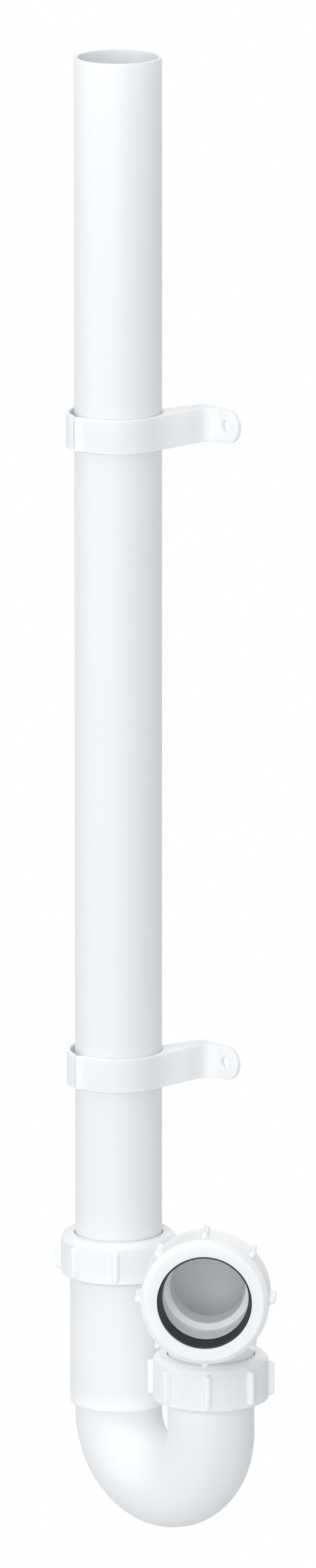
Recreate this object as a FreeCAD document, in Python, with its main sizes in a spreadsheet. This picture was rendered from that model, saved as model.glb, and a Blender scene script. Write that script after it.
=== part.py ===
import FreeCAD, Part
import math
import os
import re
import Sketcher

# A washing machine standpipe: a long upright pipe held off the wall by two clips,
# a U trap below it, and an elbow that swivels on the trap's outlet leg.
#
# The origin is on the wall, halfway between the two screw holes.
# +X runs along the wall to the right, +Y goes into the wall, +Z is up.
# Heights and lengths are in millimetres.

SIZES = {
    # The upright pipe: a 1 1/2 inch waste pipe
    "pipe_diameter": 43.0,
    "pipe_wall": 1.8,
    "pipe_above_clip": 184.5,
    "pipe_in_socket": 45.0,
    # The two clips and the wall
    "clip_spacing": 321.0,
    "clip_height": 17.0,
    "clip_wall": 1.85,
    "clip_play": 0.15,
    "wall_standoff": 43.0,
    "screw_offset": 34.0,
    "screw_hole": 6.0,
    "foot_thickness": 2.7,
    "foot_fillet": 7.0,
    "arm_width_at_wall": 8.0,
    "arm_flare": 10.5,
    "arm_wall": 2.0,
    "core_wall": 5.35,
    "ring_end": 91.0,
    "jaw_gap": 1.1,
    "jaw_shift": 0.85,
    "jaw_wall": 1.8,
    "jaw_root": 62.0,
    "jaw_lap": 6.0,
    "jaw_end": 105.0,
    "lip_length": 4.4,
    "lip_root": 1.1,
    "lip_lift": 38.6,
    # The nut and the seal round the pipe
    "inlet_drop": 84.5,
    "nut_room": 4.5,
    "nut_wall": 2.45,
    "nut_flange": 2.4,
    "nut_chamfer": 2.2,
    "nut_hole_play": 0.5,
    "inlet_nut_height": 20.5,
    "coupling_nut_height": 22.5,
    "rib_count": 8,
    "rib_turn": 3.0,
    "rib_proud": 2.85,
    "rib_width": 3.4,
    "rib_length": 16.0,
    "rib_root": 0.6,
    "rib_draft": 12.0,
    "thread_play": 0.25,
    "thread_length": 13.0,
    "thread_rise": 1.75,
    "seal_head": 2.5,
    "seal_play": 0.15,
    "seat_wall": 1.25,
    "seat_depth": 6.0,
    "seal_depth": 4.5,
    # The U trap
    "tube_diameter": 43.0,
    "tube_wall": 2.2,
    "leg_spacing": 64.5,
    "inlet_leg": 86.0,
    "outlet_leg": 32.0,
    "socket_play": 0.3,
    "socket_wall": 2.2,
    "socket_shoulder": 11.0,
    "socket_foot": 5.5,
    "socket_chamfer": 3.5,
    "pilot_depth": 8.0,
    # The swivel joint
    "swivel_play": 0.3,
    "washer_thickness": 2.5,
    "washer_play": 0.5,
    "collar_play": 0.6,
    "collar_thickness": 3.0,
    "pilot_length": 6.5,
    "pilot_lip": 1.0,
    "coupling_room": 4.8,
    # The elbow
    "outlet_turn": 42.0,
    "neck_diameter": 42.4,
    "neck_bore": 36.8,
    "elbow_drop": 45.2,
    "elbow_throat": 2.8,
    "outlet_bore": 43.5,
    "outlet_shoulder": 34.4,
    "outlet_wall": 2.35,
    "outlet_thread": 13.0,
    # The nut and the seal of the outlet
    "outlet_reach": 66.0,
    "outlet_nut_room": 7.25,
    "outlet_nut_wall": 2.5,
    "outlet_nut_length": 24.0,
    "outlet_nut_flange": 2.6,
    "outlet_opening_play": 1.45,
    "outlet_rib_length": 17.9,
    "outlet_seat_wall": 1.7,
    "outlet_seal_head": 2.3,
    "outlet_seal_depth": 3.0,
    "outlet_lip_play": 0.05,
}

# Where a sketch's lines start, before its rules move them to their places
ROUGH = 10.0

UP = FreeCAD.Vector(0, 0, 1)

doc = FreeCAD.newDocument("standpipe_trap")
sheet = doc.addObject("Spreadsheet::Sheet", "Sizes")
for row, (name, value) in enumerate(SIZES.items(), start=1):
    sheet.set("A%d" % row, name)
    sheet.set("B%d" % row, str(value))
    sheet.setAlias("B%d" % row, name)
doc.recompute()


def formula(text):
    """Point every size named in a sum at its cell of the sheet."""
    def cell(word):
        return "Sizes." + word.group(0) if word.group(0) in SIZES else word.group(0)
    return re.sub(r"[a-z_]+", cell, text)


def bind(item, **sums):
    """Bind properties of an object to sums of named sizes."""
    for name, text in sums.items():
        item.setExpression(name, formula(text))


# Sums that several pieces share

PIPE_RADIUS = "pipe_diameter / 2"
PIPE_BORE = "(pipe_diameter / 2 - pipe_wall)"
TUBE_BORE = "(tube_diameter / 2 - tube_wall)"
AXIS_X = "-screw_offset"
AXIS_Y = "-wall_standoff"
SWIVEL_X = "(leg_spacing - screw_offset)"
NUT_BORE = "(pipe_diameter / 2 + nut_room)"
NUT_RADIUS = "(pipe_diameter / 2 + nut_room + nut_wall)"
THREAD_RADIUS = "(pipe_diameter / 2 + nut_room - thread_play)"
SOCKET_BORE = "(pipe_diameter / 2 + socket_play)"
SOCKET_RADIUS = "(pipe_diameter / 2 + socket_play + socket_wall)"
OUTLET_NUT_BORE = "(outlet_bore / 2 + outlet_nut_room)"
OUTLET_NUT_RADIUS = "(outlet_bore / 2 + outlet_nut_room + outlet_nut_wall)"
OUTLET_NUT_OPENING = "(outlet_bore / 2 + outlet_opening_play)"
OUTLET_THREAD_RADIUS = "(outlet_bore / 2 + outlet_nut_room - thread_play)"
OUTLET_SOCKET_RADIUS = "(outlet_bore / 2 + outlet_wall)"
SEAT_RADIUS = "(pipe_diameter / 2 + nut_room - thread_play - seat_wall)"
SEAT_SLOPE = "((" + SEAT_RADIUS + " - " + SOCKET_BORE + ") / seat_depth)"
OUTLET_SEAT_RADIUS = "(outlet_bore / 2 + outlet_nut_room - thread_play - outlet_seat_wall)"
OUTLET_SEAT_SLOPE = "((" + OUTLET_SEAT_RADIUS + " - outlet_bore / 2) / seat_depth)"
COUPLING_BORE = "(neck_diameter / 2 + coupling_room)"
COUPLING_RADIUS = "(neck_diameter / 2 + coupling_room + nut_wall)"
LEG_THREAD_RADIUS = "(neck_diameter / 2 + coupling_room - thread_play)"
COLLAR_RADIUS = "(neck_diameter / 2 + coupling_room - collar_play)"
PILOT_RADIUS = "(neck_diameter / 2 + pilot_lip)"
PILOT_BORE = "(neck_diameter / 2 + pilot_lip + swivel_play)"
WASHER_BORE = "(neck_diameter / 2 + pilot_lip + washer_play)"
ELBOW_RADIUS = "(neck_diameter / 2 + elbow_throat)"
PIPE_TOP = "(clip_spacing / 2 + pipe_above_clip)"
INLET_NUT_TOP = "(-clip_spacing / 2 - inlet_drop)"
SOCKET_MOUTH = "(" + INLET_NUT_TOP + " - nut_flange - seal_head)"
BEND_LEVEL = "(" + SOCKET_MOUTH + " - inlet_leg)"
LEG_MOUTH = "(" + BEND_LEVEL + " + outlet_leg)"
COLLAR_FOOT = "(" + LEG_MOUTH + " + washer_thickness + swivel_play)"
OUTLET_LEVEL = "(" + COLLAR_FOOT + " + collar_thickness + elbow_drop)"
COUPLING_NUT_TOP = "(" + COLLAR_FOOT + " + collar_thickness + swivel_play + nut_flange)"
OUTLET_MOUTH = "(outlet_reach - outlet_nut_flange - outlet_seal_head)"


def place(item, across="0", back="0", up="0", turn="0"):
    """Put a piece at its place in the whole, turned about the upright."""
    item.Placement = FreeCAD.Placement(FreeCAD.Vector(), FreeCAD.Rotation(UP, 1))
    places = (
        ("Placement.Base.x", across),
        ("Placement.Base.y", back),
        ("Placement.Base.z", up),
        ("Placement.Rotation.Angle", turn),
    )
    for path, text in places:
        item.setExpression(path, formula(text))


def new_body(name):
    """Start one piece, whose label names its file."""
    body = doc.addObject("PartDesign::Body", name)
    body.Label = name
    return body


def new_sketch(body, plane, lift="0", aside="0"):
    """Start a sketch on one of the body's own planes, lifted off it and moved aside in it."""
    sketch = body.newObject("Sketcher::SketchObject", body.Name + "_sketch")
    sketch.AttachmentSupport = [(item, "") for item in body.Origin.OriginFeatures if item.Role == plane]
    sketch.MapMode = "FlatFace"
    sketch.setExpression("AttachmentOffset.Base.x", formula(aside))
    sketch.setExpression("AttachmentOffset.Base.z", formula(lift))
    return sketch


def hold(sketch, geometry, point, direction, text):
    """Hold a point of a sketch at a distance from the sketch's origin."""
    crossed_axis = {"DistanceX": -2, "DistanceY": -1}[direction]
    if text == "0":
        sketch.addConstraint(Sketcher.Constraint("PointOnObject", geometry, point, crossed_axis))
        return
    if text.startswith("-"):
        text = text[1:]
        rule = Sketcher.Constraint(direction, geometry, point, -1, 1, ROUGH)
    else:
        rule = Sketcher.Constraint(direction, -1, 1, geometry, point, ROUGH)
    index = sketch.addConstraint(rule)
    sketch.setExpression("Constraints[%d]" % index, formula(text))


def outline(body, points, aside):
    """Draw a closed outline of straight edges through points given as sums."""
    sketch = new_sketch(body, "XZ_Plane", aside=aside)
    count = len(points)
    turns = [k * math.tau / count for k in range(count)]
    start = [FreeCAD.Vector(math.cos(turn), math.sin(turn)) * ROUGH for turn in turns]
    for k in range(count):
        sketch.addGeometry(Part.LineSegment(start[k], start[(k + 1) % count]))
    for k in range(count):
        sketch.addConstraint(Sketcher.Constraint("Coincident", k, 2, (k + 1) % count, 1))
    for k, (first, second) in enumerate(points):
        hold(sketch, k, 1, "DistanceX", first)
        hold(sketch, k, 1, "DistanceY", second)
    return sketch


def turned(body, points, about="V_Axis", cut=False, aside="0"):
    """Turn an outline about an axis of its sketch, to add a solid or to cut one away."""
    sketch = outline(body, points, aside)
    feature = body.newObject("PartDesign::Groove" if cut else "PartDesign::Revolution", body.Name + "_turned")
    feature.Profile = sketch
    feature.ReferenceAxis = (sketch, [about])
    feature.Angle = 360
    return feature


def swept(body, path, radius, plane, lift, cut=False):
    """Sweep a circle along a path, to add a rod or to cut a bore."""
    circle = new_sketch(body, plane, lift)
    circle.addGeometry(Part.Circle(FreeCAD.Vector(), UP, ROUGH))
    circle.addConstraint(Sketcher.Constraint("Coincident", 0, 3, -1, 1))
    index = circle.addConstraint(Sketcher.Constraint("Radius", 0, ROUGH))
    circle.setExpression("Constraints[%d]" % index, formula(radius))
    kind = "PartDesign::SubtractivePipe" if cut else "PartDesign::AdditivePipe"
    feature = body.newObject(kind, body.Name + "_swept")
    feature.Profile = circle
    feature.Spine = (path, ["Edge%d" % (k + 1) for k in range(path.GeometryCount)])
    return feature


def grip_ribs(nut, upright, nut_radius, length, middle):
    """Raise one grip rib with round ends on a nut's skirt and repeat it round the nut."""
    plane, axis = ("YZ_Plane", "Z_Axis") if upright else ("XY_Plane", "X_Axis")
    along, across = ("DistanceY", "DistanceX") if upright else ("DistanceX", "DistanceY")
    heading = math.pi / 2 if upright else 0.0
    sketch = new_sketch(nut, plane, "(" + nut_radius + " - rib_root)")
    for k, rough_middle in enumerate((2 * ROUGH, ROUGH)):
        centre = FreeCAD.Vector(math.cos(heading), math.sin(heading)) * rough_middle
        first = heading - math.pi / 2 + k * math.pi
        sketch.addGeometry(Part.ArcOfCircle(Part.Circle(centre, UP, ROUGH / 5), first, first + math.pi))
    for k in range(2):
        sketch.addGeometry(Part.LineSegment(sketch.getPoint(k, 2), sketch.getPoint(1 - k, 1)))
        sketch.addConstraint(Sketcher.Constraint("Tangent", k, 2, 2 + k, 1))
        sketch.addConstraint(Sketcher.Constraint("Tangent", 2 + k, 2, 1 - k, 1))
    sketch.addConstraint(Sketcher.Constraint("Vertical" if upright else "Horizontal", 2))
    width = sketch.addConstraint(Sketcher.Constraint("Radius", 0, ROUGH / 5))
    sketch.setExpression("Constraints[%d]" % width, formula("rib_width / 2"))
    reach = "(" + length + " - rib_width) / 2"
    hold(sketch, 0, 3, along, middle + " + " + reach)
    hold(sketch, 1, 3, along, middle + " - " + reach)
    hold(sketch, 0, 3, across, "0")
    hold(sketch, 1, 3, across, "0")
    rib = nut.newObject("PartDesign::Pad", nut.Name + "_rib")
    rib.Profile = sketch
    bind(rib, Length="rib_root + rib_proud", TaperAngle="-rib_draft")
    pattern = nut.newObject("PartDesign::PolarPattern", nut.Name + "_ribs")
    pattern.Originals = [rib]
    pattern.Axis = [(item, "") for item in nut.Origin.OriginFeatures if item.Role == axis][0]
    pattern.Angle = 360
    bind(pattern, Occurrences="rib_count")
    nut.Tip = pattern


# The standpipe

standpipe = new_body("standpipe")
PIPE_LENGTH = "(pipe_above_clip + clip_spacing + inlet_drop + nut_flange + seal_head + pipe_in_socket)"
turned(standpipe, [
    (PIPE_BORE, "0"),
    (PIPE_RADIUS, "0"),
    (PIPE_RADIUS, PIPE_LENGTH),
    (PIPE_BORE, PIPE_LENGTH),
])
place(standpipe, AXIS_X, AXIS_Y, SOCKET_MOUTH + " - pipe_in_socket")


# The two upright nuts, which differ in height and in the hole in the top

def upright_nut(name, height, bore, radius, hole):
    """Turn a nut with a flange at its top and grip ribs round its skirt."""
    nut = new_body(name)
    turned(nut, [
        (bore, "0"),
        (radius, "0"),
        (radius, height + " - nut_chamfer"),
        (radius + " - nut_chamfer", height),
        (hole, height),
        (hole, height + " - nut_flange"),
        (bore, height + " - nut_flange"),
    ])
    grip_ribs(nut, True, radius, "rib_length", "(" + height + " - nut_chamfer) / 2")
    return nut


inlet_nut = upright_nut("inlet_nut", "inlet_nut_height", NUT_BORE, NUT_RADIUS,
                        "pipe_diameter / 2 + nut_hole_play")
place(inlet_nut, AXIS_X, AXIS_Y, INLET_NUT_TOP + " - inlet_nut_height", "-rib_turn")

coupling_nut = upright_nut("coupling_nut", "coupling_nut_height", COUPLING_BORE, COUPLING_RADIUS,
                           "neck_diameter / 2 + nut_hole_play")
place(coupling_nut, SWIVEL_X, AXIS_Y, COUPLING_NUT_TOP + " - coupling_nut_height", "-rib_turn")


# The taper seal round the standpipe, which wedges into the mouth of the socket

inlet_seal = new_body("inlet_seal")
turned(inlet_seal, [
    ("pipe_diameter / 2 + seal_play", "0"),
    (SEAT_RADIUS + " - seal_play - seal_depth * " + SEAT_SLOPE, "0"),
    (SEAT_RADIUS + " - seal_play", "seal_depth"),
    (THREAD_RADIUS + " - seal_play", "seal_depth + seal_play"),
    (THREAD_RADIUS + " - seal_play", "seal_depth + seal_head - seal_play"),
    ("pipe_diameter / 2 + seal_play", "seal_depth + seal_head - seal_play"),
])
place(inlet_seal, AXIS_X, AXIS_Y, SOCKET_MOUTH + " - seal_depth")


# The trap is one moulding, drawn as two pieces that meet where the bend starts:
# the straight socket leg, and the U bend with the outlet leg.
# The origin of both is where the bend starts, on the axis of the inlet leg.

trap_socket = new_body("trap_socket")
SOCKET_THREAD_FOOT = "inlet_leg - thread_length"
turned(trap_socket, [
    (TUBE_BORE, "0"),
    ("tube_diameter / 2", "0"),
    ("tube_diameter / 2", "socket_foot - socket_chamfer"),
    (SOCKET_RADIUS, "socket_foot"),
    (SOCKET_RADIUS, SOCKET_THREAD_FOOT + " - thread_rise"),
    (THREAD_RADIUS, SOCKET_THREAD_FOOT),
    (THREAD_RADIUS, "inlet_leg"),
    (SEAT_RADIUS, "inlet_leg"),
    (SOCKET_BORE, "inlet_leg - seat_depth"),
    (SOCKET_BORE, "socket_shoulder"),
    (TUBE_BORE, "socket_shoulder"),
])
place(trap_socket, AXIS_X, AXIS_Y, BEND_LEVEL)

trap_bend = new_body("trap_bend")
bend_path = new_sketch(trap_bend, "XZ_Plane")
bend_circle = Part.Circle(FreeCAD.Vector(ROUGH, 0), UP, ROUGH)
bend_path.addGeometry(Part.ArcOfCircle(bend_circle, math.pi, math.tau))
bend_path.addGeometry(Part.LineSegment(FreeCAD.Vector(2 * ROUGH, 0), FreeCAD.Vector(2 * ROUGH, ROUGH)))
bend_path.addConstraint(Sketcher.Constraint("Coincident", 0, 1, -1, 1))
bend_path.addConstraint(Sketcher.Constraint("Coincident", 0, 2, 1, 1))
bend_path.addConstraint(Sketcher.Constraint("Vertical", 1))
hold(bend_path, 0, 3, "DistanceX", "leg_spacing / 2")
hold(bend_path, 0, 3, "DistanceY", "0")
hold(bend_path, 0, 2, "DistanceY", "0")
hold(bend_path, 1, 2, "DistanceY", "outlet_leg")
swept(trap_bend, bend_path, "tube_diameter / 2", "XY_Plane", "0")

LEG_THREAD_FOOT = "outlet_leg - thread_length"
turned(trap_bend, [
    ("0", LEG_THREAD_FOOT + " - thread_rise * 2"),
    ("tube_diameter / 2", LEG_THREAD_FOOT + " - thread_rise * 2"),
    (LEG_THREAD_RADIUS, LEG_THREAD_FOOT),
    (LEG_THREAD_RADIUS, "outlet_leg"),
    ("0", "outlet_leg"),
], aside="leg_spacing")
swept(trap_bend, bend_path, TUBE_BORE, "XY_Plane", "0", cut=True)
turned(trap_bend, [
    ("0", "outlet_leg - pilot_depth"),
    (PILOT_BORE, "outlet_leg - pilot_depth"),
    (PILOT_BORE, "outlet_leg"),
    ("0", "outlet_leg"),
], cut=True, aside="leg_spacing")
place(trap_bend, AXIS_X, AXIS_Y, BEND_LEVEL)


# The flat washer that the elbow's collar turns on

coupling_washer = new_body("coupling_washer")
turned(coupling_washer, [
    (WASHER_BORE, "0"),
    (LEG_THREAD_RADIUS + " - seal_play", "0"),
    (LEG_THREAD_RADIUS + " - seal_play", "washer_thickness"),
    (WASHER_BORE, "washer_thickness"),
])
place(coupling_washer, SWIVEL_X, AXIS_Y, LEG_MOUTH)


# The elbow: pilot, collar, neck, knuckle and outlet socket in one moulding.
# Its own origin is where its two axes cross, and its outlet runs along its own +X.
# The whole outlet is turned from square to the wall by outlet_turn.

OUTLET_PLACE = (SWIVEL_X, AXIS_Y, OUTLET_LEVEL, "outlet_turn - 90")
ELBOW_FOOT = "(elbow_drop + collar_thickness + pilot_length)"
outlet_elbow = new_body("outlet_elbow")
elbow_path = new_sketch(outlet_elbow, "XZ_Plane")
elbow_circle = Part.Circle(FreeCAD.Vector(ROUGH, -ROUGH), UP, ROUGH)
elbow_path.addGeometry(Part.LineSegment(FreeCAD.Vector(0, -2 * ROUGH), FreeCAD.Vector(0, -ROUGH)))
elbow_path.addGeometry(Part.ArcOfCircle(elbow_circle, math.pi / 2, math.pi))
elbow_path.addGeometry(Part.LineSegment(FreeCAD.Vector(ROUGH, 0), FreeCAD.Vector(2 * ROUGH, 0)))
elbow_path.addConstraint(Sketcher.Constraint("Coincident", 0, 2, 1, 2))
elbow_path.addConstraint(Sketcher.Constraint("Coincident", 1, 1, 2, 1))
hold(elbow_path, 0, 1, "DistanceX", "0")
hold(elbow_path, 0, 1, "DistanceY", "-" + ELBOW_FOOT)
hold(elbow_path, 1, 1, "DistanceX", ELBOW_RADIUS)
hold(elbow_path, 1, 1, "DistanceY", "0")
hold(elbow_path, 1, 2, "DistanceY", "-" + ELBOW_RADIUS)
hold(elbow_path, 1, 3, "DistanceX", ELBOW_RADIUS)
hold(elbow_path, 1, 3, "DistanceY", "-" + ELBOW_RADIUS)
hold(elbow_path, 2, 2, "DistanceX", "outlet_shoulder")
hold(elbow_path, 2, 2, "DistanceY", "0")
swept(outlet_elbow, elbow_path, "neck_diameter / 2", "XY_Plane", "-" + ELBOW_FOOT)
turned(outlet_elbow, [
    ("outlet_shoulder - outlet_wall * 2", "0"),
    ("outlet_shoulder - outlet_wall * 2", "neck_diameter / 2"),
    ("outlet_shoulder - outlet_wall", OUTLET_SOCKET_RADIUS),
    (OUTLET_MOUTH + " - outlet_thread - thread_rise", OUTLET_SOCKET_RADIUS),
    (OUTLET_MOUTH + " - outlet_thread", OUTLET_THREAD_RADIUS),
    (OUTLET_MOUTH, OUTLET_THREAD_RADIUS),
    (OUTLET_MOUTH, "0"),
], about="H_Axis")
turned(outlet_elbow, [
    ("0", "-" + ELBOW_FOOT),
    (PILOT_RADIUS, "-" + ELBOW_FOOT),
    (PILOT_RADIUS, "-(elbow_drop + collar_thickness)"),
    (COLLAR_RADIUS, "-(elbow_drop + collar_thickness)"),
    (COLLAR_RADIUS, "-elbow_drop"),
    ("0", "-elbow_drop"),
])
swept(outlet_elbow, elbow_path, "neck_bore / 2", "XY_Plane", "-" + ELBOW_FOOT, cut=True)
turned(outlet_elbow, [
    ("outlet_shoulder", "0"),
    ("outlet_shoulder", "outlet_bore / 2"),
    (OUTLET_MOUTH + " - seat_depth", "outlet_bore / 2"),
    (OUTLET_MOUTH, OUTLET_SEAT_RADIUS),
    (OUTLET_MOUTH, "0"),
], about="H_Axis", cut=True)
place(outlet_elbow, *OUTLET_PLACE)


# The larger nut of the outlet and the black taper seal that shows in its mouth

outlet_nut = new_body("outlet_nut")
turned(outlet_nut, [
    ("outlet_reach - outlet_nut_length", OUTLET_NUT_BORE),
    ("outlet_reach - outlet_nut_length", OUTLET_NUT_RADIUS),
    ("outlet_reach - outlet_nut_wall", OUTLET_NUT_RADIUS),
    ("outlet_reach", OUTLET_NUT_BORE),
    ("outlet_reach", OUTLET_NUT_OPENING),
    ("outlet_reach - outlet_nut_flange", OUTLET_NUT_OPENING),
    ("outlet_reach - outlet_nut_flange", OUTLET_NUT_BORE),
], about="H_Axis")
OUTLET_RIB_MIDDLE = "(outlet_reach - outlet_nut_wall - (outlet_nut_length - outlet_nut_wall) / 2)"
grip_ribs(outlet_nut, False, OUTLET_NUT_RADIUS, "outlet_rib_length", OUTLET_RIB_MIDDLE)
place(outlet_nut, *OUTLET_PLACE)

outlet_seal = new_body("outlet_seal")
OUTLET_SEAL_FACE = "(outlet_reach - outlet_nut_flange - seal_play)"
turned(outlet_seal, [
    (OUTLET_SEAL_FACE, OUTLET_NUT_OPENING + " - seal_play"),
    (OUTLET_SEAL_FACE, OUTLET_THREAD_RADIUS + " - seal_play"),
    (OUTLET_MOUTH + " + seal_play", OUTLET_THREAD_RADIUS + " - seal_play"),
    (OUTLET_MOUTH, OUTLET_SEAT_RADIUS + " - seal_play"),
    (OUTLET_MOUTH + " - outlet_seal_depth",
     OUTLET_SEAT_RADIUS + " - seal_play - outlet_seal_depth * " + OUTLET_SEAT_SLOPE),
    (OUTLET_MOUTH + " - outlet_seal_depth", "outlet_bore / 2 + outlet_lip_play"),
], about="H_Axis")
place(outlet_seal, *OUTLET_PLACE)


# The wall clips: a sprung ring, an arm that tapers towards the wall and a foot for one screw.
# Each is drawn round the axis of the pipe, from its lower face up.

RING_RADIUS = "(pipe_diameter / 2 + clip_play + clip_wall)"
JAW_BORE = "(pipe_diameter / 2 + jaw_gap)"
ARM_LEFT = "(pipe_diameter / 2 + clip_play + clip_wall - arm_width_at_wall)"
FOOT_FACE = "(wall_standoff - foot_thickness)"
CORE_START = "(pipe_diameter / 2 + clip_play + core_wall)"
LIP_HEADING = "(lip_lift - ring_end - 90)"


def solid(kind, name, across="0", back="0", up="0", turn="0", **sums):
    """Make one simple solid of a clip."""
    item = doc.addObject("Part::" + kind, name)
    bind(item, **sums)
    place(item, across, back, up, turn)
    return item


def joined(name, pieces):
    """Join simple solids into one."""
    whole = doc.addObject("Part::MultiFuse", name)
    whole.Shapes = pieces
    whole.Refine = True
    return whole


def cut_from(name, base, tool):
    """Take one solid away from another."""
    rest = doc.addObject("Part::Cut", name)
    rest.Base = base
    rest.Tool = tool
    rest.Refine = True
    return rest


def screw_axis_disc(name, radius):
    """Make a cylinder along +Y on the screw's axis, as thick as the foot."""
    item = doc.addObject("Part::Cylinder", name)
    bind(item, Radius=radius, Height="foot_thickness")
    item.Placement = FreeCAD.Placement(FreeCAD.Vector(), FreeCAD.Rotation(FreeCAD.Vector(1, 0, 0), -90))
    item.setExpression("Placement.Base.x", formula("screw_offset"))
    item.setExpression("Placement.Base.y", formula(FOOT_FACE))
    item.setExpression("Placement.Base.z", formula("clip_height / 2"))
    return item


def clip_grip(name):
    """Make the sprung ring, its free jaw and the lip that opens it."""
    ring = solid("Cylinder", name + "_ring", turn="-ring_end",
                 Radius=RING_RADIUS, Angle="ring_end + jaw_root", Height="clip_height")
    jaw_disc = solid("Cylinder", name + "_jaw_disc", "-jaw_shift", "-jaw_shift", turn="jaw_root - jaw_lap",
                     Radius=JAW_BORE + " + jaw_wall", Angle="360 - jaw_end - jaw_root + jaw_lap",
                     Height="clip_height")
    jaw_bore = solid("Cylinder", name + "_jaw_bore", "-jaw_shift", "-jaw_shift",
                     Radius=JAW_BORE, Height="clip_height")
    jaw = cut_from(name + "_jaw", jaw_disc, jaw_bore)
    lip = solid("Box", name + "_lip", turn=LIP_HEADING,
                across=RING_RADIUS + " * cos(ring_end) + clip_wall * sin(" + LIP_HEADING + ")"
                " - lip_root * cos(" + LIP_HEADING + ")",
                back="-" + RING_RADIUS + " * sin(ring_end) - clip_wall * cos(" + LIP_HEADING + ")"
                " - lip_root * sin(" + LIP_HEADING + ")",
                Length="lip_length + lip_root", Width="clip_wall", Height="clip_height")
    return [ring, jaw, lip]


def clip_arm(name):
    """Make the arm, the fillet in its corner and the foot with its round end."""
    arm = solid("Wedge", name + "_arm", Ymin="0", Ymax="wall_standoff",
                Xmin=ARM_LEFT + " - arm_flare", Xmax=RING_RADIUS, X2min=ARM_LEFT, X2max=RING_RADIUS,
                Zmin="0", Z2min="0", Zmax="clip_height", Z2max="clip_height")
    fillet_block = solid("Box", name + "_fillet_block", RING_RADIUS, FOOT_FACE + " - foot_fillet",
                         Length="foot_fillet", Width="foot_fillet", Height="clip_height")
    fillet_round = solid("Cylinder", name + "_fillet_round", RING_RADIUS + " + foot_fillet",
                         FOOT_FACE + " - foot_fillet", Radius="foot_fillet", Height="clip_height")
    fillet = cut_from(name + "_fillet", fillet_block, fillet_round)
    foot = solid("Box", name + "_foot", ARM_LEFT, FOOT_FACE,
                 Length="screw_offset - " + ARM_LEFT, Width="foot_thickness", Height="clip_height")
    return [arm, fillet, foot, screw_axis_disc(name + "_foot_end", "clip_height / 2")]


def clip_rooms(name):
    """Make the rooms in a clip: for the pipe, for the screw and the core open to the wall."""
    pipe_room = solid("Cylinder", name + "_pipe_room",
                      Radius="pipe_diameter / 2 + clip_play", Height="clip_height")
    core = solid("Wedge", name + "_core", Ymin=CORE_START, Ymax="wall_standoff",
                 Xmin=ARM_LEFT + " - arm_flare * (1 - " + CORE_START + " / wall_standoff) + arm_wall",
                 Xmax=RING_RADIUS + " - arm_wall",
                 X2min=ARM_LEFT + " + arm_wall", X2max=RING_RADIUS + " - arm_wall",
                 Zmin="arm_wall", Z2min="arm_wall",
                 Zmax="clip_height - arm_wall", Z2max="clip_height - arm_wall")
    return [pipe_room, core, screw_axis_disc(name + "_screw_room", "screw_hole / 2")]


def pipe_clip(name, up):
    """Make one wall clip, gripping the standpipe."""
    outside = joined(name + "_outside", clip_grip(name) + clip_arm(name))
    clip = cut_from(name, outside, joined(name + "_rooms", clip_rooms(name)))
    clip.Label = name
    place(clip, AXIS_X, AXIS_Y, up)
    return clip


pipe_clip_upper = pipe_clip("pipe_clip_upper", "clip_spacing / 2 - clip_height / 2")
pipe_clip_lower = pipe_clip("pipe_clip_lower", "-clip_spacing / 2 - clip_height / 2")


# Check every object, then write one file for each piece

doc.recompute()
pieces = [
    standpipe,
    pipe_clip_upper,
    pipe_clip_lower,
    inlet_nut,
    inlet_seal,
    trap_socket,
    trap_bend,
    coupling_nut,
    coupling_washer,
    outlet_elbow,
    outlet_nut,
    outlet_seal,
]
for item in doc.Objects:
    if "Invalid" in item.State or "Error" in item.State:
        raise RuntimeError(item.Name + " failed: " + str(item.State))
for piece in pieces:
    if piece.Shape.isNull() or not piece.Shape.isValid():
        raise RuntimeError(piece.Label + " has no valid shape")
os.makedirs("parts", exist_ok=True)
for piece in pieces:
    piece.Shape.exportStep("parts/" + piece.Label + ".step")
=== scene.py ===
import math

import bmesh
import bpy
from mathutils import Matrix, Vector


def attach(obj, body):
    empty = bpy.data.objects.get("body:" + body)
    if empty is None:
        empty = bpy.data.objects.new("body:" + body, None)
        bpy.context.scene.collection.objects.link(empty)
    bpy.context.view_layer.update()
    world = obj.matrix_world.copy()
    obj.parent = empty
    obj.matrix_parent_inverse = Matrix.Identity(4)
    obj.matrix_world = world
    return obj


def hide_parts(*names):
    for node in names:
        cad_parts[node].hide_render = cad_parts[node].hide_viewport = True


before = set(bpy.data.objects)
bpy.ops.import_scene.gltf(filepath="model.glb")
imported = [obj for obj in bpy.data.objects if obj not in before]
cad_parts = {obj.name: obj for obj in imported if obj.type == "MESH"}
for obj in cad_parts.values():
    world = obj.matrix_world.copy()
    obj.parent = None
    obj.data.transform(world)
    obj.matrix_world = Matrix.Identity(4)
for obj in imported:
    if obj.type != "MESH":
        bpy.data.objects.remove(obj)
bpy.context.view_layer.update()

# A washing machine standpipe with its two wall clips, U trap and swivelling outlet elbow.
# Lengths are in millimetres and angles in degrees, but lamps are in metres and watts.
# Every piece is made round its own axis, then carried to its place and turned to metres.

MM = 0.001

# Points nearer than this are one point
TOUCH = 0.001

# Edges of the clips and the ribs whose faces meet at more than this are rounded
SHARP = 40.0

# Steps round a full turn, and steps in a small rounded corner
TURN_STEPS = 96
ROUND_STEPS = 3

# The pipe and the levels along it
PIPE_RADIUS = 21.5
PIPE_WALL = 1.8
PIPE_TOP = 345.0
PIPE_FOOT = -294.9
PIPE_AXIS = (-34.0, -43.0)
CLIP_LEVELS = {"pipe_clip_upper": 152.0, "pipe_clip_lower": -169.0}
INLET_NUT_FOOT = -265.5
BEND_LEVEL = -335.9

# The swivel and the outlet
SWIVEL_AXIS = (30.5, -43.0)
LEG_SPACING = 64.5
COUPLING_NUT_FOOT = -317.9
OUTLET_LEVEL = -252.9
OUTLET_TURN = 42.0
OUTLET_REACH = 66.0


# Shapes


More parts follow.
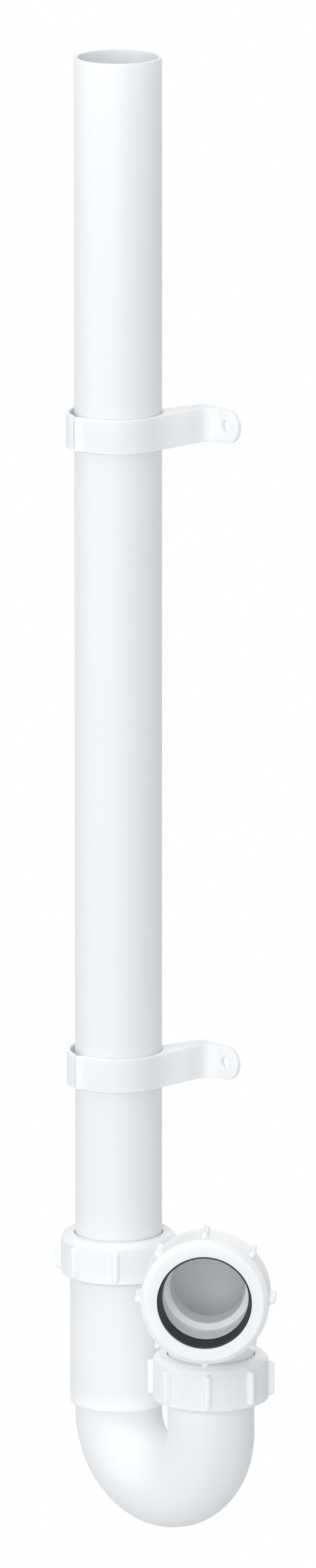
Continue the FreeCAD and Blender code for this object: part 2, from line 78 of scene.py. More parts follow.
def mesh_from(name, bm):
    """Turn a shape into a mesh and let the shape go."""
    mesh = bpy.data.meshes.new(name)
    bm.to_mesh(mesh)
    bm.free()
    return mesh


def new_object(name, data):
    """Put a mesh, a camera or a lamp into the scene."""
    item = bpy.data.objects.new(name, data)
    bpy.context.scene.collection.objects.link(item)
    return item


def points_of(made):
    """The points among what an operator made."""
    return [item for item in made if isinstance(item, bmesh.types.BMVert)]


def outline(bm, corners):
    """Lay a closed outline of (radius, height, rounding) corners and round them."""
    laid = [bm.verts.new((radius, 0, height)) for radius, height, _ in corners]
    bm.faces.new(laid)
    for corner, (_, _, rounding) in zip(laid, corners):
        if rounding:
            bmesh.ops.bevel(bm, geom=[corner], offset=rounding, segments=ROUND_STEPS,
                            profile=0.5, affect="VERTICES", material=-1)
    bmesh.ops.delete(bm, geom=bm.faces[:], context="FACES_ONLY")
    return laid[0], laid[-1]


def turned(corners, open_ended=False, angle=360.0, steps=TURN_STEPS):
    """Turn an outline about the upright axis.

    An open ended one has no wall from its last corner to its first.
    """
    bm = bmesh.new()
    first, last = outline(bm, corners)
    if open_ended:
        bm.edges.remove(bm.edges.get((first, last)))
    bmesh.ops.rotate(bm, verts=bm.verts[:], cent=(0, 0, 0),
                     matrix=Matrix.Rotation(-math.radians(angle) / 2, 3, "Z"))
    bmesh.ops.spin(bm, geom=bm.verts[:] + bm.edges[:], cent=(0, 0, 0), axis=(0, 0, 1),
                   angle=math.radians(angle), steps=steps, use_merge=angle == 360.0)
    return bm


def closed(bm):
    """Merge the seams of a shape and point its faces outwards."""
    bmesh.ops.remove_doubles(bm, verts=bm.verts[:], dist=TOUCH)
    bmesh.ops.recalc_face_normals(bm, faces=bm.faces[:])
    return bm


def joined(bm, other):
    """Add another shape to this one."""
    mesh = mesh_from("part", other)
    bm.from_mesh(mesh)
    bpy.data.meshes.remove(mesh)


def swung(bm, height, centre, angle, steps):
    """Carry the open rims at a height round a bend about a centre."""
    rims = [e for e in bm.edges
            if e.is_boundary and all(abs(v.co.z - height) < TOUCH for v in e.verts)]
    corners = list({v for e in rims for v in e.verts})
    bmesh.ops.spin(bm, geom=corners + rims, cent=centre, axis=(0, 1, 0),
                   angle=math.radians(angle), steps=steps)


def sharp_edges(bm):
    """The edges of a shape that are sharp enough to be rounded."""
    return [e for e in bm.edges
            if len(e.link_faces) == 2 and e.calc_face_angle() > math.radians(SHARP)]


def rounded(bm, edges, size, steps, clamp=False):
    """Round some edges of a shape, no further than their neighbours allow if clamped."""
    bmesh.ops.bevel(bm, geom=edges, offset=size, segments=steps, profile=0.5, affect="EDGES",
                    material=-1, clamp_overlap=clamp)


def carved(bm, cutter):
    """Cut one shape out of another."""
    whole = new_object("whole", mesh_from("whole", bm))
    tool = new_object("cutter", mesh_from("cutter", cutter))
    cut = whole.modifiers.new("cut", "BOOLEAN")
    cut.object = tool
    cut.operation = "DIFFERENCE"
    cut.solver = "EXACT"
    bpy.context.view_layer.update()
    result = whole.evaluated_get(bpy.context.evaluated_depsgraph_get()).to_mesh()
    bm = bmesh.new()
    bm.from_mesh(result)
    for item in (whole, tool):
        mesh = item.data
        bpy.data.objects.remove(item)
        bpy.data.meshes.remove(mesh)
    return bm


def at(axis, level, turn=0.0):
    """The place of a piece made round its own upright axis."""
    return Matrix.Translation((*axis, level)) @ Matrix.Rotation(math.radians(turn), 4, "Z")


def piece(name, bm, body, material, nodes, place):
    """Finish a shape as one piece of the scene, which stands for its CAD nodes."""
    bm.transform(Matrix.Scale(MM, 4) @ place)
    mesh = mesh_from(name, bm)
    mesh.shade_smooth()
    mesh.materials.append(material)
    item = new_object(name, mesh)
    item.modifiers.new("even_normals", "WEIGHTED_NORMAL")
    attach(item, body)
    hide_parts(*nodes)


# Materials


def linear(code):
    """An sRGB hex colour as linear RGBA."""
    parts = [int(code[k:k + 2], 16) / 255 for k in (1, 3, 5)]
    return (*[c / 12.92 if c <= 0.04045 else ((c + 0.055) / 1.055) ** 2.4 for c in parts], 1.0)


def add_node(tree, kind, settings=None, **inputs):
    """Add a node, set its properties, and set or link its sockets."""
    item = tree.nodes.new("ShaderNode" + kind)
    for name, value in (settings or {}).items():
        setattr(item, name, value)
    for name, value in inputs.items():
        socket = item.inputs[name.replace("_", " ")]
        if isinstance(value, bpy.types.NodeSocket):
            tree.links.new(value, socket)
        else:
            socket.default_value = value
    return item


def new_material(name):
    """A material with an empty node tree and its output."""
    material = bpy.data.materials.new(name)
    material.use_nodes = True
    material.node_tree.nodes.clear()
    return material, material.node_tree, add_node(material.node_tree, "OutputMaterial")


# How wide the patches of each pattern are. The real peel, streaks and grit are finer than
# these and wouldn't show.
TINT_PATCH = 22.0
PEEL_PATCH = 7.0
BLOOM_PATCH = 3.0
GRIT_PATCH = 0.6
GRIT_DEPTH = 0.02

# Most of a noise lies between these two levels
NOISE_LOW = 0.3
NOISE_HIGH = 0.7

WHITE_TINTS = ("#f4f8fb", "#f8fbfd")
BLACK_TINTS = ("#0a0b0c", "#131416")
GLOSS_SPREAD = 0.03
MILKY_DEPTH = 8.0


def plastic(name, roughness, stretch, gloss_patch, peel_depth):
    """White polypropylene with a soft gloss that wanders a little over a faint orange peel.

    It is milky: some light comes through its thin walls and lightens the bores.
    """
    material, tree, output = new_material(name)
    place = add_node(tree, "TexCoord").outputs["Object"]
    drawn = add_node(tree, "Mapping", Vector=place, Scale=stretch).outputs["Vector"]
    cloud = add_node(tree, "TexNoise", Vector=drawn, Scale=1 / (TINT_PATCH * MM), Detail=2.0)
    tint = add_node(tree, "ValToRGB", Fac=cloud.outputs["Fac"])
    stops = tint.color_ramp.elements
    for stop, colour, position in zip(stops, WHITE_TINTS, (NOISE_LOW, NOISE_HIGH)):
        stop.color = linear(colour)
        stop.position = position
    skin = add_node(tree, "TexNoise", Vector=drawn, Scale=1 / (gloss_patch * MM), Detail=1.0)
    gloss = add_node(tree, "MapRange", Value=skin.outputs["Fac"],
                     From_Min=NOISE_LOW, From_Max=NOISE_HIGH,
                     To_Min=roughness - GLOSS_SPREAD, To_Max=roughness + GLOSS_SPREAD)
    peel = add_node(tree, "TexNoise", Vector=place, Scale=1 / (PEEL_PATCH * MM), Detail=0.0)
    bump = add_node(tree, "Bump", Height=peel.outputs["Fac"], Strength=1.0,
                    Distance=peel_depth * MM)
    shader = add_node(tree, "BsdfPrincipled", Base_Color=tint.outputs["Color"],
                      Roughness=gloss.outputs["Result"], Normal=bump.outputs["Normal"],
                      IOR=1.49, Subsurface_Weight=0.4, Subsurface_Radius=(1.0, 1.0, 1.0),
                      Subsurface_Scale=MILKY_DEPTH * MM)
    tree.links.new(shader.outputs["BSDF"], output.inputs["Surface"])
    return material


def rubber(name):
    """EPDM rubber: near black and satin, with a bloom over it and a fine grit from its mould."""
    material, tree, output = new_material(name)
    place = add_node(tree, "TexCoord").outputs["Object"]
    bloom = add_node(tree, "TexNoise", Vector=place, Scale=1 / (BLOOM_PATCH * MM), Detail=4.0)
    tint = add_node(tree, "ValToRGB", Fac=bloom.outputs["Fac"])
    for stop, colour in zip(tint.color_ramp.elements, BLACK_TINTS):
        stop.color = linear(colour)
    grit = add_node(tree, "TexNoise", Vector=place, Scale=1 / (GRIT_PATCH * MM), Detail=2.0)
    bump = add_node(tree, "Bump", Height=grit.outputs["Fac"], Strength=1.0,
                    Distance=GRIT_DEPTH * MM)
    shader = add_node(tree, "BsdfPrincipled", Base_Color=tint.outputs["Color"], Roughness=0.5,
                      Normal=bump.outputs["Normal"], IOR=1.52)
    tree.links.new(shader.outputs["BSDF"], output.inputs["Surface"])
    return material


# A moulded surface has even patches of gloss and the stronger peel. The extruded pipe is
# smoother, and its gloss runs in streaks along it, as the die left them.
moulded = plastic("moulded_polypropylene", roughness=0.46, stretch=(1, 1, 1),
                  gloss_patch=7.0, peel_depth=0.012)
extruded = plastic("extruded_polypropylene", roughness=0.42, stretch=(1, 1, 0.02),
                   gloss_patch=2.5, peel_depth=0.003)
seal_rubber = rubber("moulded_epdm_rubber")


# The standpipe

piece("standpipe_tube", closed(turned([
    (PIPE_RADIUS - PIPE_WALL, PIPE_FOOT, 0.3),
    (PIPE_RADIUS, PIPE_FOOT, 0.5),
    (PIPE_RADIUS, PIPE_TOP, 0.45),
    (PIPE_RADIUS - PIPE_WALL, PIPE_TOP, 0.3),
])), "trap", extruded, ["standpipe"], at(PIPE_AXIS, 0))


# The wall clips, each drawn round the axis of the pipe as seen from above

CLIP_HEIGHT = 17.0
CLIP_EDGE = 0.3

# The sprung ring, and the free jaw, which is a little wider and off centre
CENTRE = (0, 0)
RING_BORE = 21.65
RING_RADIUS = 23.5
RING_END = -91.0
JAW_CENTRE = (-0.85, -0.85)
JAW_RADIUS = 24.4
JAW_ROOT = 82.8
JAW_END = 255.0
JAW_MEETS_ARM = (10.116, 20.95)

# The lip that leads the pipe in, from where it leaves the ring's bore
LIP_START = (-1.013, -21.626)
LIP_INNER = (-5.025, -24.715)
LIP_OUTER = (-3.896, -26.181)

# The arm, the foot on the wall and the screw's hole
WALL = 43.0
FOOT_FACE = 40.3
FOOT_FILLET = 7.0
ARM_LEFT = 15.5
ARM_WALL = 2.0
SCREW_AXIS = 34.0
SCREW_RADIUS = 3.0
SCREW_CUT = 10.0
FOOT_END = SCREW_AXIS + CLIP_HEIGHT / 2

# The hollow in the arm, open to the wall, whose cutter reaches a little past it
CORE_CORNERS = ((13.593, 27.0), (21.5, 27.0), (21.5, WALL + 1), (17.744, WALL + 1))
CORE_EDGE = 0.8

# Each of the two rounds of the foot's end stops this short of the middle
ROUND_GAP = 0.01


def on_circle(centre, radius, angle):
    """A point of a circle seen from above."""
    turn = math.radians(angle)
    return (centre[0] + radius * math.cos(turn), centre[1] + radius * math.sin(turn))


def angle_of(centre, point):
    """The heading of a point from a centre."""
    return math.degrees(math.atan2(point[1] - centre[1], point[0] - centre[0]))


def line_to(bm, corners, point):
    """Carry an outline straight on to a point."""
    corner = bm.verts.new((*point, 0))
    if corners:
        bm.edges.new((corners[-1], corner))
    corners.append(corner)


def arc_to(bm, corners, centre, turn, steps):
    """Carry an outline round a centre."""
    made = bmesh.ops.spin(bm, geom=[corners[-1]], cent=(*centre, 0), axis=(0, 0, 1),
                          angle=math.radians(turn), steps=steps)
    corners.append(points_of(made["geom_last"])[0])


def prism(bm, corners, height):
    """Close an outline, fill it and raise it."""
    bm.edges.new((corners[-1], corners[0]))
    base = bmesh.ops.contextual_create(bm, geom=bm.edges[:])["faces"]
    raised = bmesh.ops.extrude_face_region(bm, geom=base)["geom"]
    bmesh.ops.translate(bm, verts=points_of(raised), vec=(0, 0, height))
    closed(bm)


def clip_body():
    """Model a clip's ring, jaw, lip, arm and round-ended foot, all as high as the clip."""
    bm = bmesh.new()
    corners = []
    jaw_root = on_circle(CENTRE, RING_BORE, JAW_ROOT)
    line_to(bm, corners, LIP_START)
    arc_to(bm, corners, CENTRE, JAW_ROOT - angle_of(CENTRE, LIP_START), steps=64)
    arc_to(bm, corners, JAW_CENTRE, JAW_END - angle_of(JAW_CENTRE, jaw_root), steps=60)
    line_to(bm, corners, on_circle(JAW_CENTRE, JAW_RADIUS, JAW_END))
    arc_to(bm, corners, JAW_CENTRE, angle_of(JAW_CENTRE, JAW_MEETS_ARM) - JAW_END, steps=66)
    line_to(bm, corners, (ARM_LEFT, WALL))
    line_to(bm, corners, (FOOT_END, WALL))
    line_to(bm, corners, (FOOT_END, FOOT_FACE))
    line_to(bm, corners, (RING_RADIUS + FOOT_FILLET, FOOT_FACE))
    arc_to(bm, corners, (RING_RADIUS + FOOT_FILLET, FOOT_FACE - FOOT_FILLET), 90.0, steps=12)
    line_to(bm, corners, (RING_RADIUS, 0.0))
    arc_to(bm, corners, CENTRE, RING_END, steps=32)
    line_to(bm, corners, LIP_OUTER)
    line_to(bm, corners, LIP_INNER)
    prism(bm, corners, CLIP_HEIGHT)
    foot_corners = [e for e in bm.edges
                    if all(abs(v.co.x - FOOT_END) < TOUCH for v in e.verts)
                    and abs(e.verts[0].co.z - e.verts[1].co.z) < TOUCH]
    rounded(bm, foot_corners, CLIP_HEIGHT / 2 - ROUND_GAP, steps=14)
    return bm


def screw_room():
    """The room of the screw through the foot."""
    bm = bmesh.new()
    place = Matrix.Translation((SCREW_AXIS, WALL, CLIP_HEIGHT / 2))
    bmesh.ops.create_cone(bm, segments=40, radius1=SCREW_RADIUS, radius2=SCREW_RADIUS,
                          depth=SCREW_CUT, cap_ends=True,
                          matrix=place @ Matrix.Rotation(math.radians(90), 4, "X"))
    return bm


def core_room():
    """The hollow in the arm, with a wall left above and below it."""
    bm = bmesh.new()
    corners = []
    for point in CORE_CORNERS:
        line_to(bm, corners, point)
    prism(bm, corners, CLIP_HEIGHT - 2 * ARM_WALL)
    bmesh.ops.translate(bm, verts=bm.verts[:], vec=(0, 0, ARM_WALL))
    rounded(bm, [e for e in bm.edges if any(v.co.y < WALL for v in e.verts)], CORE_EDGE, steps=2)
    return bm


def clip():
    """Model one clip in one moulding."""
    bm = carved(carved(clip_body(), screw_room()), core_room())
    bmesh.ops.remove_doubles(bm, verts=bm.verts[:], dist=TOUCH)
    rounded(bm, sharp_edges(bm), CLIP_EDGE, steps=2, clamp=True)
    return bm


for name, level in CLIP_LEVELS.items():
    piece(name + "_moulding", clip(), "trap", moulded,
          [name], at(PIPE_AXIS, level))


# The three nuts. One rib and the eighth of the nut round it are made, then copied round.

RIB_COUNT = 8
RIB_TURN = -3.0
RIB_PROUD = 2.85
RIB_CREST = 2.1
RIB_EDGE = 0.5
RIB_FILLET = 0.4

# How much of a rib's half width its round ends take, and how much shorter its crest is
RIB_END = 0.96
RIB_DRAFT = 1.1

# How near the skirt, the root or the crest a point is to belong to it, and the room left
# round a rib
SKIRT_SLACK = 0.1
ROOT_SLACK = 0.05
CREST_SLACK = 0.2
RIB_ROOM = 1.0


def grip_nut(corners, radius, rib_low, rib_high):
    """Model a nut whose skirt carries eight round-ended ribs between two heights."""
    bm = closed(turned(corners, angle=360.0 / RIB_COUNT, steps=TURN_STEPS // RIB_COUNT))
    column = math.radians(360.0 / TURN_STEPS)
    seat = []
    for face in bm.faces:
        middle = face.calc_center_median()
        outside = math.hypot(middle.x, middle.y) > radius - SKIRT_SLACK
        ahead = abs(math.atan2(middle.y, middle.x)) < column
        if outside and ahead and rib_low < middle.z < rib_high:
            seat.append(face)

    # Raise the rib, round its ends and draw its crest in
    raised = bmesh.ops.extrude_face_region(bm, geom=seat)["geom"]
    bmesh.ops.delete(bm, geom=seat, context="FACES")
    crest = points_of(raised)
    bmesh.ops.translate(bm, verts=crest, vec=(RIB_PROUD, 0, 0))
    width = max(v.co.y for v in crest)
    rib_corners = [e for e in bm.edges if len(e.link_faces) == 2
                   and abs(e.verts[0].co.x - e.verts[1].co.x) > RIB_PROUD / 2
                   and all(abs(abs(v.co.y) - width) < TOUCH and v.co.x > radius - RIB_ROOM
                           for v in e.verts)]
    rounded(bm, rib_corners, width * RIB_END, steps=5)
    crest = [v for v in bm.verts if v.co.x > radius + RIB_PROUD - CREST_SLACK]
    middle = Vector((0, 0, (rib_low + rib_high) / 2))
    bmesh.ops.scale(bm, verts=crest, space=Matrix.Translation(-middle),
                    vec=(1, RIB_CREST / (2 * width), 1 - RIB_DRAFT / (rib_high - rib_low)))

    # Round its crest and fillet its root
    tops = set(crest)
    rounded(bm, [e for e in sharp_edges(bm) if set(e.verts) <= tops], RIB_EDGE, steps=3)
    root = [e for e in sharp_edges(bm)
            if all(abs(math.hypot(v.co.x, v.co.y) - radius) < ROOT_SLACK
                   and rib_low - RIB_ROOM < v.co.z < rib_high + RIB_ROOM for v in e.verts)]
    rounded(bm, root, RIB_FILLET, steps=2)

    bmesh.ops.spin(bm, geom=bm.verts[:] + bm.edges[:] + bm.faces[:], cent=(0, 0, 0),
                   axis=(0, 0, 1), angle=math.tau * (RIB_COUNT - 1) / RIB_COUNT,
                   steps=RIB_COUNT - 1, use_duplicate=True)
    return closed(bm)


NUT_BORE = 26.0
NUT_RADIUS = 28.45
NUT_CHAMFER = 2.2
NUT_FLANGE = 2.4


def upright_nut(height, hole, rib_length):
    """One of the two upright nuts, with a flange at its top round a hole of this radius."""
    rib_middle = (height - NUT_CHAMFER) / 2
    low, high = rib_middle - rib_length / 2, rib_middle + rib_length / 2
    return grip_nut([
        (NUT_BORE, 0.0, 0.3),
        (NUT_RADIUS, 0.0, 0.5),
        (NUT_RADIUS, low, 0),
        (NUT_RADIUS, high, 0),
        (NUT_RADIUS, height - NUT_CHAMFER, 0.5),
        (NUT_RADIUS - NUT_CHAMFER, height, 0.5),
        (hole, height, 0.3),
        (hole, height - NUT_FLANGE, 0.2),
        (NUT_BORE, height - NUT_FLANGE, 0.3),
    ], NUT_RADIUS, low, high)


piece("inlet_nut_ribbed", upright_nut(height=20.5, hole=22.0, rib_length=16.0),
      "trap", moulded, ["inlet_nut"],
      at(PIPE_AXIS, INLET_NUT_FOOT, RIB_TURN - 90))
piece("coupling_nut_ribbed", upright_nut(height=22.5, hole=21.7, rib_length=17.6),
      "trap", moulded, ["coupling_nut"],
      at(SWIVEL_AXIS, COUPLING_NUT_FOOT, RIB_TURN - 90))


# The trap: socket leg, U bend and outlet leg in one moulding, made round the inlet leg's axis
# with the bend starting at height nought

TUBE_RADIUS = 21.5
TUBE_BORE = 19.3
SOCKET_RADIUS = 24.0
SOCKET_BORE = 21.8
THREAD_RADIUS = 25.75
SEAT_RADIUS = 24.5
PILOT_BORE = 22.5
INLET_LEG = 86.0
OUTLET_LEG = 32.0
BEND_STEPS = 64

# The step under the socket, and the shoulder in it that the pipe stops short of
STEP_FOOT = 3.2
STEP_TOP = 3.7
SOCKET_SHOULDER = 11.0

# How far from its mouth each form of a leg, or of the outlet's socket, starts
THREAD_LENGTH = 13.0
THREAD_FLARE = 14.75
LEG_FLARE = 16.5
SEAT_DEPTH = 6.0
PILOT_DEPTH = 8.0

trap = turned([
    (TUBE_RADIUS, 0.0, 0),
    (TUBE_RADIUS, STEP_FOOT, 0.25),
    (SOCKET_RADIUS, STEP_TOP, 1.5),
    (SOCKET_RADIUS, INLET_LEG - THREAD_FLARE, 0.6),
    (THREAD_RADIUS, INLET_LEG - THREAD_LENGTH, 0.5),
    (THREAD_RADIUS, INLET_LEG, 0.4),
    (SEAT_RADIUS, INLET_LEG, 0.2),
    (SOCKET_BORE, INLET_LEG - SEAT_DEPTH, 0.3),
    (SOCKET_BORE, SOCKET_SHOULDER, 0.3),
    (TUBE_BORE, SOCKET_SHOULDER, 0.4),
    (TUBE_BORE, 0.0, 0),
], open_ended=True)
swung(trap, 0.0, (LEG_SPACING / 2, 0, 0), -180.0, BEND_STEPS)
outlet_leg = turned([
    (TUBE_RADIUS, 0.0, 0),
    (TUBE_RADIUS, OUTLET_LEG - LEG_FLARE, 0.8),
    (THREAD_RADIUS, OUTLET_LEG - THREAD_LENGTH, 0.5),
    (THREAD_RADIUS, OUTLET_LEG, 0.4),
    (PILOT_BORE, OUTLET_LEG, 0.3),
    (PILOT_BORE, OUTLET_LEG - PILOT_DEPTH, 0.3),
    (TUBE_BORE, OUTLET_LEG - PILOT_DEPTH, 0.3),
    (TUBE_BORE, 0.0, 0),
], open_ended=True)
bmesh.ops.translate(outlet_leg, verts=outlet_leg.verts[:], vec=(LEG_SPACING, 0, 0))
joined(trap, outlet_leg)
piece("trap_moulding", closed(trap), "trap", moulded,
      ["trap_socket", "trap_bend"], at(PIPE_AXIS, BEND_LEVEL))


# The elbow, made round the crossing of its two axes, with its outlet along +X. Its waterway
# turns tighter than its outside.

NECK_RADIUS = 21.2
NECK_BORE = 18.4
ELBOW_BEND = 24.0
BORE_BEND = 19.4
ELBOW_STEPS = 32
COLLAR_RADIUS = 25.4
COLLAR_THICKNESS = 3.0
PILOT_RADIUS = 22.2
PILOT_LENGTH = 6.5
ELBOW_DROP = 45.2
COLLAR_FOOT = ELBOW_DROP + COLLAR_THICKNESS
ELBOW_FOOT = COLLAR_FOOT + PILOT_LENGTH

# The outlet socket, with its lengths along the outlet
OUTLET_BORE = 21.75
OUTLET_SOCKET_RADIUS = 24.1
OUTLET_THREAD_RADIUS = 28.75
OUTLET_SEAT_RADIUS = 27.05
OUTLET_FLARE_START = 29.7
OUTLET_FLARE_END = 32.05
OUTLET_SHOULDER = 34.4
OUTLET_MOUTH = 61.1
OUTLET_PLACE = at(SWIVEL_AXIS, OUTLET_LEVEL, OUTLET_TURN - 90.0)
LAID_OUT = Matrix.Rotation(math.radians(90), 4, "Y")

elbow = turned([
    (NECK_BORE, -BORE_BEND, 0),
    (NECK_BORE, -ELBOW_FOOT, 0.5),
    (PILOT_RADIUS, -ELBOW_FOOT, 0.5),
    (PILOT_RADIUS, -COLLAR_FOOT, 0.1),
    (COLLAR_RADIUS, -COLLAR_FOOT, 0.4),
    (COLLAR_RADIUS, -ELBOW_DROP, 0.5),
    (NECK_RADIUS, -ELBOW_DROP, 0.8),
    (NECK_RADIUS, -ELBOW_BEND, 0),
], open_ended=True)
for bend in (ELBOW_BEND, BORE_BEND):
    swung(elbow, -bend, (bend, 0, -bend), 90.0, ELBOW_STEPS)
outlet_socket = turned([
    (NECK_RADIUS, ELBOW_BEND, 0),
    (NECK_RADIUS, OUTLET_FLARE_START, 1.0),
    (OUTLET_SOCKET_RADIUS, OUTLET_FLARE_END, 0.8),
    (OUTLET_SOCKET_RADIUS, OUTLET_MOUTH - THREAD_FLARE, 0.8),
    (OUTLET_THREAD_RADIUS, OUTLET_MOUTH - THREAD_LENGTH, 0.5),
    (OUTLET_THREAD_RADIUS, OUTLET_MOUTH, 0.4),
    (OUTLET_SEAT_RADIUS, OUTLET_MOUTH, 0.2),
    (OUTLET_BORE, OUTLET_MOUTH - SEAT_DEPTH, 0.4),
    (OUTLET_BORE, OUTLET_SHOULDER, 0.4),
    (NECK_BORE, OUTLET_SHOULDER, 0.5),
    (NECK_BORE, BORE_BEND, 0),
], open_ended=True)
outlet_socket.transform(LAID_OUT)
joined(elbow, outlet_socket)
piece("outlet_elbow_moulding", closed(elbow), "outlet", moulded,
      ["outlet_elbow"], OUTLET_PLACE)


# The outlet's nut

OUTLET_NUT_BORE = 29.0
OUTLET_NUT_RADIUS = 31.5
OUTLET_NUT_LENGTH = 24.0
OUTLET_NUT_BACK = OUTLET_REACH - OUTLET_NUT_LENGTH
OUTLET_NUT_CHAMFER = 2.5
OUTLET_NUT_FLANGE = 2.6
OUTLET_NUT_OPENING = 23.2
OUTLET_RIB_LENGTH = 17.9

skirt_end = OUTLET_REACH - OUTLET_NUT_CHAMFER
outlet_rib_middle = skirt_end - (OUTLET_NUT_LENGTH - OUTLET_NUT_CHAMFER) / 2
outlet_rib_low = outlet_rib_middle - OUTLET_RIB_LENGTH / 2
outlet_rib_high = outlet_rib_middle + OUTLET_RIB_LENGTH / 2
outlet_nut = grip_nut([
    (OUTLET_NUT_BORE, OUTLET_NUT_BACK, 0.3),
    (OUTLET_NUT_RADIUS, OUTLET_NUT_BACK, 0.5),
    (OUTLET_NUT_RADIUS, outlet_rib_low, 0),
    (OUTLET_NUT_RADIUS, outlet_rib_high, 0),
    (OUTLET_NUT_RADIUS, skirt_end, 0.5),
    (OUTLET_NUT_BORE, OUTLET_REACH, 0.5),
    (OUTLET_NUT_OPENING, OUTLET_REACH, 0.3),
    (OUTLET_NUT_OPENING, OUTLET_REACH - OUTLET_NUT_FLANGE, 0.2),
    (OUTLET_NUT_BORE, OUTLET_REACH - OUTLET_NUT_FLANGE, 0.3),
], OUTLET_NUT_RADIUS, outlet_rib_low, outlet_rib_high)
piece("outlet_nut_ribbed", outlet_nut, "outlet", moulded,
      ["outlet_nut"], OUTLET_PLACE @ LAID_OUT)


# The outlet's black taper seal: a bead in the nut's opening, a flange behind it, a taper on
# the socket's seat and a lip down its bore

SEAL_PLAY = 0.15
SEAL_BEAD_RADIUS = 22.3
SEAL_LIP_RADIUS = 21.05
SEAL_FACE = OUTLET_REACH - OUTLET_NUT_FLANGE - SEAL_PLAY
SEAL_BEAD_FACE = OUTLET_REACH - 0.8
SEAL_TAPER_END = OUTLET_MOUTH - 5.85
SEAL_LIP_END = OUTLET_REACH - 11.3

piece("outlet_taper_seal", closed(turned([
    (SEAL_BEAD_RADIUS, SEAL_BEAD_FACE, 0.3),
    (OUTLET_NUT_OPENING - SEAL_PLAY, SEAL_BEAD_FACE, 0.3),
    (OUTLET_NUT_OPENING - SEAL_PLAY, SEAL_FACE, 0.1),
    (OUTLET_THREAD_RADIUS - SEAL_PLAY, SEAL_FACE, 0.2),
    (OUTLET_THREAD_RADIUS - SEAL_PLAY, OUTLET_MOUTH + SEAL_PLAY, 0.1),
    (OUTLET_SEAT_RADIUS - SEAL_PLAY, OUTLET_MOUTH + SEAL_PLAY, 0.1),
    (OUTLET_BORE - SEAL_PLAY, SEAL_TAPER_END, 0.2),
    (OUTLET_BORE - SEAL_PLAY, SEAL_LIP_END, 0.2),
    (SEAL_LIP_RADIUS, SEAL_LIP_END, 0.2),
])), "outlet", seal_rubber, ["outlet_seal"], OUTLET_PLACE @ LAID_OUT)


# The hidden seal and washer keep their shapes and get the rubber

for name in ("inlet_seal", "coupling_washer"):
    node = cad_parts[name]
    node.data.materials.clear()
    node.data.materials.append(seal_rubber)


# The stage: a pale floor well below the object and a world round it. Both are white to the
# camera, in gloss and through anything clear, and softer in the light that they give. So the
# floor shows no shadow, as in the photograph.

FLOOR_LEVEL = -500.0
FLOOR_HALF = 6000.0
FLOOR_PAINT = "#e6e8ea"
WHITE = (1, 1, 1, 1)
AMBIENT = 0.5


def seen_directly(tree):
    """One for rays from the camera, off gloss or through something clear, and else nought."""
    rays = add_node(tree, "LightPath").outputs
    seen = rays["Is Camera Ray"]
    for kind in ("Is Glossy Ray", "Is Transmission Ray"):
        either = add_node(tree, "Math", {"operation": "MAXIMUM"})
        tree.links.new(seen, either.inputs[0])
        tree.links.new(rays[kind], either.inputs[1])
        seen = either.outputs["Value"]
    return seen


floor_bm = bmesh.new()
bmesh.ops.create_grid(floor_bm, x_segments=1, y_segments=1, size=FLOOR_HALF * MM,
                      matrix=Matrix.Translation((0, 0, FLOOR_LEVEL * MM)))
floor = new_object("floor", mesh_from("floor", floor_bm))

floor_paint, tree, output = new_material("matt_painted_floor")
paint = add_node(tree, "BsdfDiffuse", Color=linear(FLOOR_PAINT))
glow = add_node(tree, "Emission", Color=WHITE, Strength=1.0)
mixed = add_node(tree, "MixShader", Fac=seen_directly(tree))
tree.links.new(paint.outputs["BSDF"], mixed.inputs[1])
tree.links.new(glow.outputs["Emission"], mixed.inputs[2])
tree.links.new(mixed.outputs["Shader"], output.inputs["Surface"])
floor.data.materials.append(floor_paint)

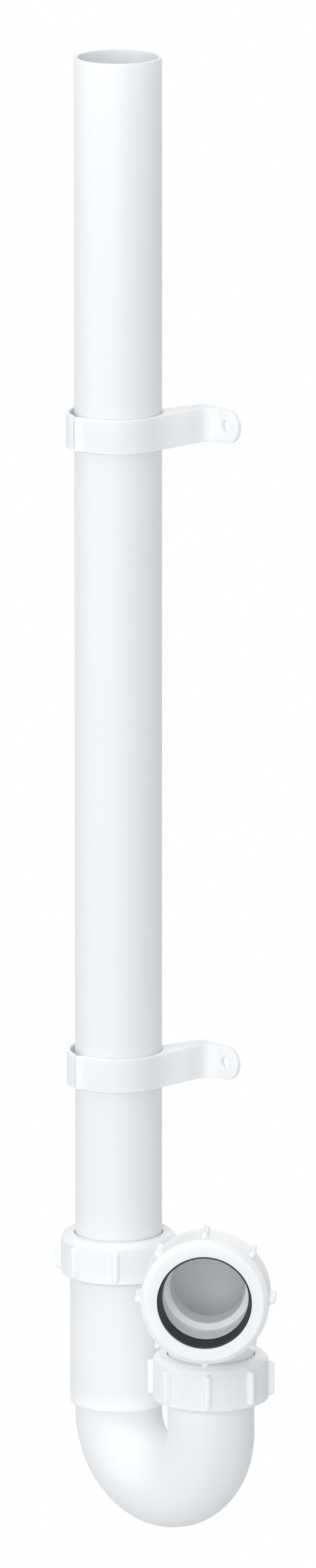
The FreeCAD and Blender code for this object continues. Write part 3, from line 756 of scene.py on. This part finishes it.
world = bpy.data.worlds.new("studio")
bpy.context.scene.world = world
world.use_nodes = True
tree = world.node_tree
tree.nodes.clear()
strength = add_node(tree, "MapRange", Value=seen_directly(tree), To_Min=AMBIENT, To_Max=1.0)
sky = add_node(tree, "Background", Color=WHITE, Strength=strength.outputs["Result"])
tree.links.new(sky.outputs["Background"], add_node(tree, "OutputWorld").inputs["Surface"])


# The camera, whose rise is the sine of its angle above level. Its lens is nearly as long as
# the other views allow, because they keep it.

CAMERA_TURN = 45.0
camera_turn = math.radians(CAMERA_TURN)
CAMERA_HEADING = Vector((math.sin(camera_turn), -math.cos(camera_turn), 0))
CAMERA_RISE = 0.2198
CAMERA_AIM = Vector((-20.2, -29.2, -18.0)) * MM
FRAME_HEIGHT = 771.9
LENS = 340.0
SENSOR = 36.0

back = CAMERA_HEADING * math.sqrt(1 - CAMERA_RISE ** 2) + Vector((0, 0, CAMERA_RISE))
camera_data = bpy.data.cameras.new("camera")
camera_data.sensor_width = SENSOR
camera_data.lens = LENS
camera = new_object("camera", camera_data)
camera.location = CAMERA_AIM + back * (FRAME_HEIGHT * MM * LENS / SENSOR)
camera.rotation_euler = back.to_track_quat("Z", "Y").to_euler()
bpy.context.scene.camera = camera


# The lamps, all at one distance

LAMP_DISTANCE = 6.0
LAMP_WIDTH = 3.0


def softbox(name, turn, rise, height, power):
    """A soft lamp aimed at the object, turned about it from the camera's own heading."""
    data = bpy.data.lights.new(name, "AREA")
    data.shape = "RECTANGLE"
    data.size = LAMP_WIDTH
    data.size_y = height
    data.energy = power
    lamp = new_object(name, data)
    heading = Matrix.Rotation(math.radians(turn), 3, "Z") @ CAMERA_HEADING
    lift = math.radians(rise)
    towards = heading * math.cos(lift) + Vector((0, 0, math.sin(lift)))
    lamp.location = CAMERA_AIM + towards * LAMP_DISTANCE
    lamp.rotation_euler = towards.to_track_quat("Z", "Y").to_euler()
    lamp.visible_camera = False


softbox("front", turn=-8.0, rise=13.0, height=4.0, power=138.0)
softbox("left", turn=-70.0, rise=10.0, height=4.0, power=72.0)
softbox("top", turn=-10.0, rise=72.0, height=3.0, power=90.0)
softbox("back", turn=165.0, rise=15.0, height=4.0, power=45.0)

bpy.context.scene.view_settings.view_transform = "Standard"
